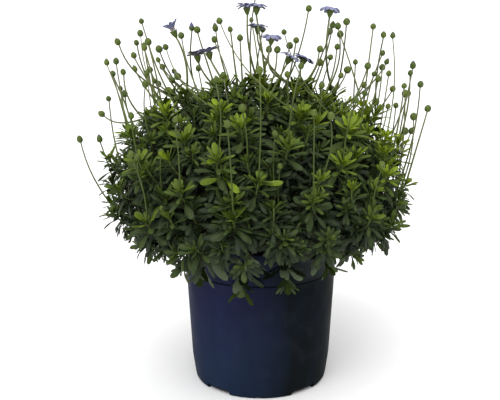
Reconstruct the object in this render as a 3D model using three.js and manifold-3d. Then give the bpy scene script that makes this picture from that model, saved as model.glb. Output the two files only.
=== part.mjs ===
// A potted blue daisy: a dense cushion of leafy shoots in a dark blue grower's pot, with round
// green buds and a few blue flower heads held above the leaves on bare stalks.
// Millimetres, +Z up. The origin is the middle of the pot's base, and -Y is the front.

import * as THREE from "three";
import { mergeVertices } from "three/addons/utils/BufferGeometryUtils.js";
import Module from "manifold-3d";

const wasm = await Module();
wasm.setup();

const GAP = 0.3; // air between two pieces that touch
const degrees = Math.PI / 180;

// Pot: a tapered plastic container with a groove, a ledge and a lip below its mouth
const POT_HEIGHT = 167;
const POT_BASE_R = 76.1;
const POT_TAPER = 0.0545; // growth of the radius for each millimetre of height
const POT_WALL = 1.8; // at the lip
const POT_FLOOR = 2.4;
const POT_FLOOR_R = 72.2; // inside, from where the inner wall runs straight up to the lip
const POT_SIDES = 38;
const GROOVE_Z = 131;
const GROOVE_DEPTH = 0.7;
const LEDGE_Z = 153.8;
const LEDGE_STEP = 0.8;
const LIP_Z = 158.5;
const LIP_OUT = 2.2;
// Drain notches in the base's edge: [azimuths, opening angle, height]
const NOTCHES = [
  [[40, -40, 140, -140], 24, 6.5],
  [[-2, 88, 178, -92], 6, 1.9],
];
const NOTCH_INNER_R = 63;

// Soil
const SOIL_Z = 150;
const SOIL_HILL = 3; // how much higher it lies in the middle
const SOIL_SIDES = POT_SIDES / 2;
const HOLE_DEPTH = 24;
const HOLE_R = 3; // to its corners: stems and holes are square and stand the same way round

// Cushion of leaves: the surface that the shoot tips reach, round in side view
const CUSHION_X = -4;
const CUSHION_R = 160;
const CUSHION_Z = 222;
const CUSHION_RISE = 108;
const CUSHION_DROP = 92;
const CUSHION_ROUNDING = 0.9;
const CUSHION_LOWEST = 130 * degrees; // measured from straight up

// Stems rise from the soil, and each forks into shoots
const STEMS = 26;
const STEM_R = [2.3, 1.6];
const STEM_REACH = 0.58; // how far out to the cushion's surface a stem ends
const STEM_FORKS = [0.66, 0.96]; // where along its arc shoots leave it, besides its end
const FORK_HEIGHT = 3;
const HOLES_INNER_R = 10;
const HOLES_OUTER_R = 60;
const SHOOTS = 80;
const TOP_CROWDING = 1.2; // above 1 the shoots stand closer on the top than below
const SHOOT_R = [1.3, 1];
const SKIRT_SHOOTS = 13; // they arch over the pot's lip and hang
const SKIRT_R = 101;
const SKIRT_Z = 142;
const SKIRT_RISE = 30; // how much higher they end at the pot's left and right

// Leaves stand round a shoot in two threes: [distance below the tip, length, width, angle off the shoot]
const WHORLS = [
  [18, 24, 7.4, 60 * degrees],
  [4, 18, 6, 32 * degrees],
];
const HANGING_ANGLE = 0.75; // share of that angle on the shoots that hang
const WHORL_HEIGHT = 2.2;
const LEAF_THICKNESS = 0.9;
const LEAF_BEND = 0.16; // backward, as a share of the leaf's length
const LEAF_SAG = [0.45, 0.12]; // downward, from the lowest leaves to the highest
const SAG_Z = [150, 240];
// Outline of a leaf between its root and its tip: [share of its length, share of its width]
const LEAF_OUTLINE = [
  [0.42, 0.66],
  [0.78, 1],
];

// Bare stalks with a round bud each
const STALK_R = 0.6;
const STALK_LENGTH = [62, 112];
const FLOWERING_SHARE = 0.3; // of the shoots that carry no marked bud or flower head
const BUD_R = 3.4;
const BUD_LENGTH = 7.6;

// Buds that stand clear of the rest, by the middle of the bud
const MARKED_BUDS = [
  ...[[-198, 8, 270], [-171, -4, 300], [-164, 0, 355], [-150, -10, 377], [-155, 30, 324]],
  ...[[-128, 6, 385], [-117, -35, 348], [-99, -20, 373], [-97, 45, 341], [-73, 4, 391]],
  ...[[-43, -12, 399], [-38, -50, 347], [51, 6, 411], [25, 20, 386], [84, 30, 391]],
  ...[[88, -30, 399], [104, 30, 353], [117, -16, 394], [130, 0, 384], [141, 8, 383]],
  ...[[135, -14, 345], [160, 0, 344], [172, 4, 331], [153, -15, 323], [148, 15, 307]],
];

// Flower heads: the middle of the rays, the way they face, how far the rays rise and curl down
const HEADS = [
  { at: [-91, -15, 389], lean: [-0.45, 0.05], open: 52, curl: 0.05 },
  { at: [-70, 40, 358], lean: [-0.2, 0.3], open: 30, curl: 0.3 },
  { at: [-54, -20, 367], lean: [-0.25, 0.16], open: 10, curl: 0.05 },
  { at: [-15, 26, 411], lean: [-0.1, 0.2], open: 24, curl: 0.35 },
  { at: [-4, -17, 413], lean: [0.05, 0.18], open: 18, curl: 0.4 },
  { at: [-3, 62, 388], lean: [0.1, 0.25], open: 8, curl: 0.3 },
  { at: [11, -42, 384], lean: [0.1, 0.2], open: 16, curl: 0.6 },
  { at: [31, -12, 361], lean: [0.5, 0.12], open: 12, curl: 0.35 },
  { at: [47, 18, 356], lean: [0.45, 0.24], open: 14, curl: 0.4 },
  { at: [71, -30, 411], lean: [0.1, 0.2], open: 12, curl: 0.55 },
];
const RAYS = 10;
const RAY_LENGTH = 9.8;
const RAY_WIDTH = 4.8;
const RAY_THICKNESS = 0.8;
const EYE_R = 3;
const CUP_R = 4;
const CUP_HEIGHT = 8.5;

const COLOURS = {
  pot: 0x1b2147,
  soil: 0x2b2119,
  green: 0x4c6b26,
  ray: 0x8585c4,
  eye: 0xd9b32c,
};
const material = {
  pot: new THREE.MeshStandardMaterial({ color: COLOURS.pot, roughness: 0.42, metalness: 0 }),
  soil: new THREE.MeshStandardMaterial({ color: COLOURS.soil, roughness: 0.95, metalness: 0 }),
  green: new THREE.MeshStandardMaterial({ color: COLOURS.green, roughness: 0.6, metalness: 0 }),
  ray: new THREE.MeshStandardMaterial({ color: COLOURS.ray, roughness: 0.7, metalness: 0 }),
  eye: new THREE.MeshStandardMaterial({ color: COLOURS.eye, roughness: 0.8, metalness: 0 }),
};

// Vectors and draws

const vec = (x, y, z) => new THREE.Vector3(x, y, z);
const plus = (a, b, share = 1) => a.clone().addScaledVector(b, share);
const cross = (a, b) => new THREE.Vector3().crossVectors(a, b);
const mix = (a, b, share) => a + (b - a) * share;
const UP = vec(0, 0, 1);
const GOLDEN_TURN = Math.PI * (3 - Math.sqrt(5));

// A fixed random number from 0 to 1 for three whole numbers
function draw(a, b, c) {
  let h = Math.imul(a + 1, 0x9e3779b1) ^ Math.imul(b + 1, 0x85ebca6b) ^ Math.imul(c + 1, 0xc2b2ae35);
  h = Math.imul(h ^ (h >>> 15), 0x2c1b3c6d);
  h = Math.imul(h ^ (h >>> 12), 0x297a2d39);
  return ((h ^ (h >>> 15)) >>> 0) / 2 ** 32;
}

function bezier(a, b, c, t) {
  return a.clone().multiplyScalar((1 - t) ** 2).addScaledVector(b, 2 * t * (1 - t)).addScaledVector(c, t * t);
}

// Two directions square to this one
function squareTo(along) {
  const side = cross(along, UP);
  if (side.length() < 0.05) side.set(1, 0, 0);
  side.normalize();
  return [side, cross(along, side).normalize()];
}

// Closed meshes and solids

function solidFrom(corners, faces) {
  return new wasm.Manifold(
    new wasm.Mesh({
      numProp: 3,
      vertProperties: new Float32Array(corners.flatMap((p) => p.toArray())),
      triVerts: new Uint32Array(faces.flat()),
    }),
  );
}

function solidOf(geometry) {
  const bare = new THREE.BufferGeometry();
  bare.setAttribute("position", geometry.getAttribute("position"));
  bare.setIndex(geometry.index);
  const merged = mergeVertices(bare, 1e-4);
  const { array } = merged.getAttribute("position");
  const faces = [];
  for (let i = 0; i < merged.index.count; i += 3) {
    const [a, b, c] = merged.index.array.slice(i, i + 3);
    if (a !== b && b !== c && c !== a) faces.push(a, b, c);
  }
  return new wasm.Manifold(
    new wasm.Mesh({ numProp: 3, vertProperties: array, triVerts: new Uint32Array(faces) }),
  );
}

function geometryOf(solid) {
  const { numProp, vertProperties, triVerts } = solid.getMesh();
  const positions = new Float32Array((vertProperties.length / numProp) * 3);
  for (let i = 0; i < positions.length / 3; i++)
    positions.set(vertProperties.subarray(i * numProp, i * numProp + 3), i * 3);
  const geometry = new THREE.BufferGeometry();
  geometry.setAttribute("position", new THREE.BufferAttribute(positions, 3));
  geometry.setIndex(new THREE.BufferAttribute(new Uint32Array(triVerts), 1));
  geometry.computeVertexNormals();
  return geometry;
}

// A growing body starts as one ring of corners, and forms are pushed out of its faces. A face lists
// its corners counter-clockwise as seen from outside.
function startBody(ring) {
  const front = ring.map((_, k) => k);
  const body = { corners: [...ring], faces: new Set([front, front.toReversed()]) };
  return { body, cap: front };
}

function middleOf(corners, loop) {
  return loop.reduce((sum, i) => plus(sum, corners[i], 1 / loop.length), vec(0, 0, 0));
}

// The walls between two loops: the upper one is turned until the walls twist least
function bridge(corners, low, high) {
  const [lowMiddle, highMiddle] = [middleOf(corners, low), middleOf(corners, high)];
  let best = { cost: Infinity };
  for (let shift = 0; shift < high.length; shift++) {
    const foot = (i) => low[i % low.length];
    const top = (j) => high[(j + shift) % high.length];
    const faces = [];
    let [i, j, cost] = [0, 0, 0];
    while (i < low.length || (j < high.length && high.length > 1)) {
      if (low.length === high.length) faces.push([foot(i), foot(++i), top(j + 1), top(j++)]);
      else if (high.length === 1 || (i + 1) / low.length <= (j + 1) / high.length)
        faces.push([foot(i), foot(++i), top(j)]);
      else faces.push([foot(i), top(j + 1), top(j++)]);
      const fromLow = plus(corners[foot(i)], lowMiddle, -1);
      cost += fromLow.distanceToSquared(plus(corners[top(j)], highMiddle, -1));
    }
    if (cost < best.cost) best = { cost, faces };
  }
  return best.faces;
}

// Pushes a face out to a new ring of corners. Gives the walls made and the face on the ring
function pushFace(body, face, ring) {
  const cap = ring.map((_, k) => body.corners.length + k);
  body.corners.push(...ring);
  const walls = bridge(body.corners, face, cap);
  body.faces.delete(face);
  for (const wall of walls) body.faces.add(wall);
  if (cap.length > 2) body.faces.add(cap);
  return { walls, cap };
}

function pushOut(body, face, rings) {
  const steps = [];
  for (const ring of rings) steps.push(pushFace(body, steps.at(-1)?.cap ?? face, ring));
  return steps;
}

// Cuts each face into triangles, a four-sided one along its shorter diagonal
function solidOfBody({ corners, faces }) {
  const triangles = [];
  for (const face of faces) {
    const [a, b, c, d] = face.map((i) => corners[i]);
    const turned = d && b.distanceTo(d) < a.distanceTo(c);
    const loop = turned && face.length === 4 ? [...face.slice(1), face[0]] : face;
    for (let k = 1; k + 1 < loop.length; k++) triangles.push([loop[0], loop[k], loop[k + 1]]);
  }
  return solidFrom(corners, triangles);
}

function loft([first, ...rest]) {
  const { body, cap } = startBody(first);
  pushOut(body, cap, rest);
  return solidOfBody(body);
}

function ring(middle, across, third, radius, sides, turn = 0) {
  return Array.from({ length: sides }, (_, k) => {
    const angle = turn + (2 * Math.PI * k) / sides;
    return plus(plus(middle, across, radius * Math.cos(angle)), third, radius * Math.sin(angle));
  });
}

// Rings of a rod through the points, from one radius to the other, each turned by its own angle
function rodRings(path, [first, last], sides, turns = []) {
  let across = null;
  return path.map((point, i) => {
    const before = path[Math.max(i - 1, 0)];
    const after = path[Math.min(i + 1, path.length - 1)];
    const along = plus(after, before, -1).normalize();
    across = across ? plus(across, along, -across.dot(along)).normalize() : squareTo(along)[0];
    const radius = mix(first, last, i / (path.length - 1));
    return ring(point, across, cross(along, across), radius, sides, turns[i]);
  });
}

// Rings of a turned form on an axis: [height, radius] upward from its foot, where radius 0 is a point
function turnedRings(foot, axis, profile, sides) {
  const [across] = squareTo(axis);
  return profile.map(([height, radius]) => {
    const middle = plus(foot, axis, height);
    return radius ? ring(middle, across, cross(axis, across), radius, sides) : [middle];
  });
}

// Forms placed so far, so that a new one keeps clear of all that it doesn't grow from

const placed = [];

function place(owners, solid) {
  placed.push({ owners, solid, box: solid.boundingBox() });
}

function isClear(owners, solid) {
  const box = solid.boundingBox();
  return placed.every((other) => {
    if (other.owners.some((owner) => owners.includes(owner))) return true;
    const apart = [0, 1, 2].some((i) => box.min[i] > other.box.max[i] || box.max[i] < other.box.min[i]);
    return apart || solid.intersect(other.solid).isEmpty();
  });
}

// The rings of the first try that, made fatter by the gap, is clear of all but its carrier's forms.
// A try takes the spare
function firstClear(name, carrier, tries) {
  const chosen = tries.find((make) => isClear([carrier], loft(make(GAP + 0.1))));
  if (!chosen) return null;
  const rings = chosen(0);
  place([name], loft(rings));
  return rings;
}

// Pot and soil

const wallR = (z) => POT_BASE_R + POT_TAPER * z;

function innerR(z) {
  const share = (z - POT_FLOOR) / (POT_HEIGHT - POT_FLOOR);
  return mix(POT_FLOOR_R, wallR(POT_HEIGHT) - POT_WALL, share);
}

function makePot() {
  const points = [
    [0, 0],
    [wallR(0) - 5, 0],
    [wallR(3) - 2.3, 3],
    [wallR(15) - 1.2, 15],
    [wallR(29), 29],
    [wallR(GROOVE_Z - 1.2), GROOVE_Z - 1.2],
    [wallR(GROOVE_Z) - GROOVE_DEPTH, GROOVE_Z],
    [wallR(GROOVE_Z + 1.2), GROOVE_Z + 1.2],
    [wallR(LEDGE_Z), LEDGE_Z - 0.5],
    [wallR(LEDGE_Z) + LEDGE_STEP, LEDGE_Z + 0.5],
    [wallR(LIP_Z) + LEDGE_STEP, LIP_Z - 0.6],
    [wallR(LIP_Z) + LIP_OUT, LIP_Z + 0.6],
    [wallR(POT_HEIGHT) + LIP_OUT, POT_HEIGHT - 1],
    [wallR(POT_HEIGHT) + LIP_OUT - 1, POT_HEIGHT],
    [innerR(POT_HEIGHT), POT_HEIGHT],
    [innerR(POT_FLOOR), POT_FLOOR],
    [0, POT_FLOOR],
  ];
  const turnedPot = new THREE.LatheGeometry(points.map(([r, z]) => new THREE.Vector2(r, z)), POT_SIDES);
  let pot = solidOf(turnedPot.rotateX(90 * degrees));
  for (const [azimuths, angle, height] of NOTCHES) {
    const outer = POT_BASE_R + 6;
    const width = 2 * POT_BASE_R * Math.sin((angle / 2) * degrees);
    for (const azimuth of azimuths) {
      const cutter = new THREE.BoxGeometry(width, outer - NOTCH_INNER_R, 2 * height);
      cutter.translate(0, -(outer + NOTCH_INNER_R) / 2, 0);
      cutter.rotateZ(azimuth * degrees);
      pot = pot.subtract(solidOf(cutter));
    }
  }
  return pot;
}

function makeSoil(stems) {
  const foot = POT_FLOOR + GAP;
  const points = [
    [0, foot],
    [innerR(foot) - GAP, foot],
    [innerR(SOIL_Z) - GAP, SOIL_Z - 1.5],
    [62, SOIL_Z + 0.4],
    [30, SOIL_Z + 0.6 * SOIL_HILL],
    [0, SOIL_Z + SOIL_HILL],
  ];
  const mound = new THREE.LatheGeometry(points.map(([r, z]) => new THREE.Vector2(r, z)), SOIL_SIDES);
  let soil = solidOf(mound.rotateX(90 * degrees));
  for (const { hole } of stems) {
    const drill = new THREE.CylinderGeometry(HOLE_R, HOLE_R, HOLE_DEPTH + 12, 4).rotateX(90 * degrees);
    soil = soil.subtract(solidOf(drill.translate(hole.x, hole.y, SOIL_Z + (12 - HOLE_DEPTH) / 2)));
  }
  return soil;
}

// Stems and shoots

// A point on the cushion, or inside it at a share of the way out
function onCushion(fall, azimuth, share = 1) {
  const out = Math.sin(fall) ** CUSHION_ROUNDING;
  const high = Math.abs(Math.cos(fall)) ** CUSHION_ROUNDING;
  const z = Math.cos(fall) > 0 ? CUSHION_RISE * high : -CUSHION_DROP * high;
  const r = CUSHION_R * out * share;
  return vec(CUSHION_X + r * Math.sin(azimuth), -r * Math.cos(azimuth), CUSHION_Z + z * share);
}

// Directions spread over the cushion, from its top down to its lowest edge
function spread(count, turn, crowding = 1) {
  return Array.from({ length: count }, (_, i) => {
    const fall = Math.acos(mix(1, Math.cos(CUSHION_LOWEST), ((i + 0.5) / count) ** crowding));
    return { fall, azimuth: i * GOLDEN_TURN + turn };
  });
}

function makeStems() {
  return spread(STEMS, 0).map(({ fall, azimuth }, i) => {
    const outR = mix(HOLES_INNER_R, HOLES_OUTER_R, fall / CUSHION_LOWEST);
    const hole = vec(outR * Math.sin(azimuth), -outR * Math.cos(azimuth), SOIL_Z);
    const end = onCushion(fall, azimuth, STEM_REACH);
    const knee = vec(hole.x * 1.15, hole.y * 1.15, mix(SOIL_Z, end.z, 0.75) + 8);
    const at = (t) => bezier(plus(hole, UP, 6), knee, end, t);
    return { name: `stem_${String(i + 1).padStart(2, "0")}`, hole, at, goal: onCushion(fall, azimuth) };
  });
}

// Shoots stand nearly upright on top, lean out on the sides and hang at the lowest edge
function uprightShoot(number, tip, fall, azimuth) {
  const lean = fall * mix(0.22, 0.85, THREE.MathUtils.smoothstep(fall, 90 * degrees, CUSHION_LOWEST));
  const aside = Math.sin(lean);
  const heading = vec(aside * Math.sin(azimuth), -aside * Math.cos(azimuth), Math.cos(lean));
  const sway = vec(draw(number, 9, 1) - 0.5, draw(number, 9, 2) - 0.5, 0);
  return { number, tip, heading: plus(heading, sway, 0.4).normalize(), hangs: false };
}

// A shoot that hangs over the lip of the pot
function skirtShoot(number, azimuth) {
  const r = SKIRT_R + 9 * (draw(number, 1, 3) - 0.5);
  const z = SKIRT_Z + SKIRT_RISE * Math.sin(azimuth) ** 2 + 10 * (draw(number, 1, 4) - 0.5);
  const tip = vec(r * Math.sin(azimuth), -r * Math.cos(azimuth), z);
  const heading = vec(0.4 * Math.sin(azimuth), -0.4 * Math.cos(azimuth), -0.9).normalize();
  return { number, tip, heading, hangs: true };
}

function makeShoots(stems) {
  const shoots = spread(SHOOTS, 0.7, TOP_CROWDING).map(({ fall, azimuth }, i) => {
    const share = 1 + 0.09 * (draw(i, 0, 1) - 0.5);
    const tip = onCushion(fall, azimuth + 0.12 * (draw(i, 0, 2) - 0.5), share);
    return uprightShoot(i, tip, fall, azimuth);
  });
  for (let i = 0; i < SKIRT_SHOOTS; i++) {
    const number = SHOOTS + i;
    const azimuth = (2 * Math.PI * (i + 0.5 + 0.3 * (draw(number, 1, 2) - 0.5))) / SKIRT_SHOOTS;
    shoots.push(skirtShoot(number, azimuth));
  }
  for (const shoot of shoots) {
    const far = stems.map((stem) => stem.goal.distanceTo(shoot.tip));
    shoot.stem = stems[far.indexOf(Math.min(...far))];
    shoot.name = `shoot_${shoot.number}`;
    shoot.size = (shoot.hangs ? 1.15 : 0.85) + 0.3 * draw(shoot.number, 9, 0);
  }
  return shoots;
}

// Grows a stem out of its hole. Gives its body with the faces that shoots can leave it by
function growStem(stem) {
  const height = stem.at(0).distanceTo(stem.at(1));
  const forks = STEM_FORKS.flatMap((t) => [t, t + FORK_HEIGHT / height]);
  const low = [plus(stem.hole, UP, 1 - HOLE_DEPTH), plus(stem.hole, UP, 4)];
  const [first, ...rest] = rodRings([...low, ...[0.35, ...forks].map(stem.at)], STEM_R, 4);
  const { body, cap } = startBody(first);
  const steps = pushOut(body, cap, rest);
  place([stem.name, `trunk_${stem.name}`], loft([first, ...rest]));
  const last = steps.length - 1;
  return { body, doors: [...steps[last - 2].walls, ...steps[last].walls, steps[last].cap] };
}

// The middle of a face of the shoot's stem, and the curve from there to the shoot's tip
function wayFrom(door, { stem, tip, heading, hangs }) {
  const middle = middleOf(stem.grown.body.corners, door);
  const reach = middle.distanceTo(tip);
  const elbow = plus(plus(tip, heading, -0.42 * reach), UP, hangs ? 16 : 0);
  return { middle, reach, at: (t) => bezier(middle, elbow, tip, t) };
}

// The faces of the stem that look most along the shoot's way out of them, the best one first
function doorsTowards(shoot) {
  const { body, doors } = shoot.stem.grown;
  const score = (door) => {
    const [a, b, c] = door.map((i) => body.corners[i]);
    const normal = cross(plus(b, a, -1), plus(c, a, -1)).normalize();
    const { middle, reach, at } = wayFrom(door, shoot);
    return normal.dot(plus(at(0.4), middle, -1).normalize()) - reach / 250;
  };
  const scores = new Map(doors.map((door) => [door, score(door)]));
  return [...doors].sort((a, b) => scores.get(b) - scores.get(a)).slice(0, 5);
}

// Grows a shoot out of a face of its stem and keeps the faces that its leaves leave it by
function growShoot(shoot, door) {
  const { stem, number } = shoot;
  const { middle, reach, at } = wayFrom(door, shoot);
  const levels = WHORLS.flatMap(([below]) => [1 - below / reach, 1 - (below - WHORL_HEIGHT) / reach]);
  const turn = 2 * Math.PI * draw(number, 3, 0);
  const turns = [turn, turn, turn, turn + Math.PI / 3, turn + Math.PI / 3];
  const path = [0.4, ...levels].map(at);
  const whole = [middle.clone().lerp(path[0], 0.15), ...path];
  const [thick, thin] = SHOOT_R;
  const filled = (spare) => loft(rodRings(whole, [thick + 0.4 + spare, thin + spare], 3, [turn, ...turns]));
  const outer = loft(rodRings(path, [thick + GAP, thin + GAP], 3, turns));
  if (!isClear([stem.name], filled(GAP))) return false;
  if (!isClear([`trunk_${stem.name}`], filled(0)) || !isClear([], outer)) return false;
  place([stem.name, shoot.name], filled(0));
  const steps = pushOut(stem.grown.body, door, rodRings(path, SHOOT_R, 3, turns));
  stem.grown.doors.splice(stem.grown.doors.indexOf(door), 1);
  const whorls = [steps[2].walls, steps[4].walls];
  Object.assign(shoot, { at, reach, grown: true, top: steps[4].cap, whorls });
  return true;
}

// Leaves, buds and flower heads

// Rings of a spoon-shaped blade, flat on its face and keeled behind, that bends back and down
function bladeRings(root, along, face, length, width, spare) {
  const across = cross(face, along);
  const sag = mix(...LEAF_SAG, THREE.MathUtils.smoothstep(root.z, ...SAG_Z));
  const middle = (u) =>
    plus(plus(plus(root, along, length * u), face, -LEAF_BEND * length * u * u), UP, -sag * length * u * u);
  const rings = LEAF_OUTLINE.map(([u, share]) => {
    const half = (share * width) / 2 + spare;
    const top = plus(middle(u), face, spare);
    return [plus(top, across, -half), plus(top, face, -LEAF_THICKNESS - 2 * spare), plus(top, across, half)];
  });
  return [...rings, [plus(middle(1), along, spare)]];
}

// Grows one leaf out of a face of its shoot, turned aside where it would run into something
function growLeaf(shoot, level, side) {
  const { corners } = shoot.stem.grown.body;
  const door = shoot.whorls[level][side];
  const middle = middleOf(corners, door);
  const [below, length, width, fullAngle] = WHORLS[level];
  const angle = shoot.hangs ? HANGING_ANGLE * fullAngle : fullAngle;
  const t = 1 - below / shoot.reach;
  const heading = plus(shoot.at(t + 0.05), shoot.at(t - 0.05), -1).normalize();
  const normal = plus(middle, shoot.at(1 - (below - WHORL_HEIGHT / 2) / shoot.reach), -1);
  const out = plus(normal, heading, -normal.dot(heading)).normalize();
  const size = shoot.size * (0.88 + 0.24 * draw(shoot.number, 10 + level, side));
  const tries = [0, 0.3, -0.3, 0.6, -0.6, 0.9, -0.9].map((turn) => (spare) => {
    const way = out.clone().applyAxisAngle(heading, turn);
    const along = plus(heading.clone().multiplyScalar(Math.cos(angle)), way, Math.sin(angle));
    const face = cross(along, cross(heading, way));
    const foot = plus(middle, along, 1.5);
    const across = cross(face, along);
    const start = [plus(foot, across, -0.8), plus(foot, face, -0.8), plus(foot, across, 0.8)];
    return [start, ...bladeRings(middle, along, face, length * size, width * size, spare)];
  });
  const rings = firstClear(shoot.name, shoot.name, tries);
  if (rings) pushOut(shoot.stem.grown.body, door, rings.slice(1));
}

// A stalk from the shoot's tip to a point, arriving along an axis
function stalkRings(shoot, end, axis, spare) {
  const knee = plus(end, axis, -0.45 * shoot.tip.distanceTo(end));
  const path = [0.02, 0.5, 1].map((t) => bezier(shoot.tip, knee, end, t));
  return rodRings(path, [STALK_R + spare, STALK_R + spare], 3);
}

const BUD_PROFILE = [
  [0.26, 0.9],
  [0.62, 0.98],
  [1, 0],
].map(([height, radius]) => [height * BUD_LENGTH, radius * BUD_R]);

function budRings(shoot, foot, axis, spare) {
  const profile = BUD_PROFILE.map(([height, radius]) => [height, radius && radius + spare]);
  return [...stalkRings(shoot, foot, axis, spare), ...turnedRings(foot, axis, profile, 6)];
}

// The tries for a bud that stands where the shoot's growth takes it
function budTries(shoot) {
  const { number, tip, heading } = shoot;
  const length = mix(...STALK_LENGTH, draw(number, 4, 0));
  const outward = vec(tip.x, tip.y, 0).divideScalar(CUSHION_R);
  return [0, 1, 2, 3].map((attempt) => (spare) => {
    const sway = vec(draw(number, 5, attempt) - 0.5, draw(number, 6, attempt) - 0.5, 0);
    const way = plus(plus(plus(UP.clone(), heading, 0.2), outward, 0.2), sway, 0.22).normalize();
    const axis = plus(way.clone().lerp(UP, 0.45), sway, 0.3).normalize();
    return budRings(shoot, plus(tip, way, length), axis, spare);
  });
}

// Grows a stalk with what it carries out of the shoot's tip, in the first try that is clear
function growStalk(shoot, tries) {
  const rings = firstClear(`stalk_${shoot.number}`, shoot.name, tries);
  if (rings) pushOut(shoot.stem.grown.body, shoot.top, rings);
  shoot.used = Boolean(rings);
}

function markedBudTry(shoot, at) {
  const middle = vec(...at);
  const axis = plus(middle, shoot.tip, -1).normalize().lerp(UP, 0.45).normalize();
  return (spare) => budRings(shoot, plus(middle, axis, -BUD_LENGTH / 2), axis, spare);
}

const headAxis = ({ lean }) => vec(lean[0], lean[1], 1).normalize();

const CUP_PROFILE = [
  [-CUP_HEIGHT, 0.9],
  [-0.4 * CUP_HEIGHT, 0.78 * CUP_R],
  [0, CUP_R],
];

// The green cup below the rays, on its stalk
function cupTry(shoot, head) {
  const axis = headAxis(head);
  const foot = vec(...head.at);
  return (spare) => {
    const profile = CUP_PROFILE.map(([height, radius]) => [height, radius + spare]);
    const stalk = stalkRings(shoot, plus(foot, axis, -CUP_HEIGHT - 0.5), axis, spare);
    return [...stalk, ...turnedRings(foot, axis, profile, 7)];
  };
}

// The rays of a head: blades with a low ridge on both faces, joined to each other at their roots
function makeRays(head, number) {
  const step = (2 * Math.PI) / RAYS;
  const open = head.open * degrees;
  const half = RAY_THICKNESS / 2;
  const rise = half / Math.cos(open);
  const width = Math.min(RAY_WIDTH, 1.85 * (EYE_R + 0.59 * RAY_LENGTH * Math.cos(open)) * Math.sin(step / 2));
  const at = (turn, s, aside, lift) => {
    const r = EYE_R + s * RAY_LENGTH * Math.cos(open);
    const z = s * RAY_LENGTH * Math.sin(open) - head.curl * RAY_LENGTH * s * s + lift;
    return vec(r * Math.cos(turn) - aside * Math.sin(turn), r * Math.sin(turn) + aside * Math.cos(turn), z);
  };
  const corners = [vec(0, 0, half), vec(0, 0, -half)];
  const faces = [];
  for (let k = 0; k < RAYS; k++) {
    const turn = k * step;
    const length = 0.9 + 0.2 * draw(number, 20, k);
    const twist = 0.7 * (draw(number, 21, k) - 0.5);
    corners.push(
      at(turn - step / 2, 0, 0, half),
      at(turn - step / 2, 0, 0, -half),
      at(turn, 0.66 * length, -width / 2, twist),
      at(turn, length, 0, 0),
      at(turn, 0.66 * length, width / 2, -twist),
      at(turn, 0.5 * length, 0, rise),
      at(turn, 0.5 * length, 0, -rise),
    );
    const [top, under, left, end, right, ridge, keel] = [0, 1, 2, 3, 4, 5, 6].map((n) => 2 + 7 * k + n);
    const nextTop = 2 + 7 * ((k + 1) % RAYS);
    const nextUnder = nextTop + 1;
    faces.push([top, left, ridge], [left, end, ridge], [end, right, ridge], [right, nextTop, ridge]);
    faces.push([left, under, keel], [end, left, keel], [right, end, keel], [nextUnder, right, keel]);
    faces.push([nextTop, top, ridge], [under, nextUnder, keel]);
    faces.push([top, under, left], [nextTop, right, nextUnder]);
    faces.push([0, top, nextTop], [1, nextUnder, under]);
  }
  const axis = headAxis(head);
  const [across] = squareTo(axis);
  const seat = plus(vec(...head.at), axis, GAP + half);
  const frame = new THREE.Matrix4().makeBasis(across, cross(axis, across), axis).setPosition(seat);
  return solidFrom(corners.map((p) => p.applyMatrix4(frame)), faces);
}

const EYE_PROFILE = [
  [0, 1],
  [0.22, 0.93],
  [0.36, 0],
].map(([height, radius]) => [height * EYE_R, radius * EYE_R]);

function makeEye(head) {
  const axis = headAxis(head);
  const foot = plus(vec(...head.at), axis, 2 * GAP + RAY_THICKNESS);
  return loft(turnedRings(foot, axis, EYE_PROFILE, 7));
}

// Assembly

const stems = makeStems();
const pot = makePot();
const soil = makeSoil(stems);
place(["pot"], pot);
place(["soil"], soil);
for (const stem of stems) stem.grown = growStem(stem);
const shoots = makeShoots(stems);
for (const shoot of shoots) doorsTowards(shoot).some((door) => growShoot(shoot, door));
const grown = shoots.filter((shoot) => shoot.grown);

// Grows a stalk up to this point from the shoot whose tip best carries it, leaning outwards a little
function growFromNearest([x, y, z], makeTry) {
  const away = vec(x, y, 0).divideScalar(Math.max(Math.hypot(x, y), 1));
  const cost = ({ tip }) => {
    const gap = vec(2 * (tip.x - 0.8 * x), 2 * (tip.y - 0.8 * y), tip.z - z + 70);
    return gap.length() + Math.max(0, gap.dot(away));
  };
  const free = grown.filter((shoot) => !shoot.used).sort((a, b) => cost(a) - cost(b));
  free.slice(0, 8).find((shoot) => {
    growStalk(shoot, [makeTry(shoot)]);
    return shoot.used;
  });
}

const heads = [];
HEADS.forEach((head, i) => {
  const name = String(i + 1).padStart(2, "0");
  growFromNearest(head.at, (shoot) => cupTry(shoot, head));
  const rays = makeRays(head, i);
  const eye = makeEye(head);
  place([`rays_${name}`], rays);
  place([`eye_${name}`], eye);
  heads.push({ name, rays, eye });
});
for (const at of MARKED_BUDS) growFromNearest(at, (shoot) => markedBudTry(shoot, at));
for (const shoot of grown) {
  const flowers = shoot.heading.z > 0 && draw(shoot.number, 7, 0) < FLOWERING_SHARE;
  if (flowers && !shoot.used) growStalk(shoot, budTries(shoot));
}
for (const shoot of grown) {
  for (const level of [1, 0]) {
    for (const side of [0, 1, 2]) growLeaf(shoot, level, side);
  }
  if (!shoot.used) pushOut(shoot.stem.grown.body, shoot.top, [[plus(shoot.tip, shoot.heading, 2)]]);
}

const plant = new THREE.Group();

function addMesh(name, solid, finish) {
  const mesh = new THREE.Mesh(geometryOf(solid), finish);
  mesh.name = name;
  plant.add(mesh);
}

addMesh("pot", pot, material.pot);
addMesh("soil", soil, material.soil);
for (const stem of stems) addMesh(stem.name, solidOfBody(stem.grown.body), material.green);
for (const { name, rays, eye } of heads) {
  addMesh(`rays_${name}`, rays, material.ray);
  addMesh(`eye_${name}`, eye, material.eye);
}

export default plant;
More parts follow.
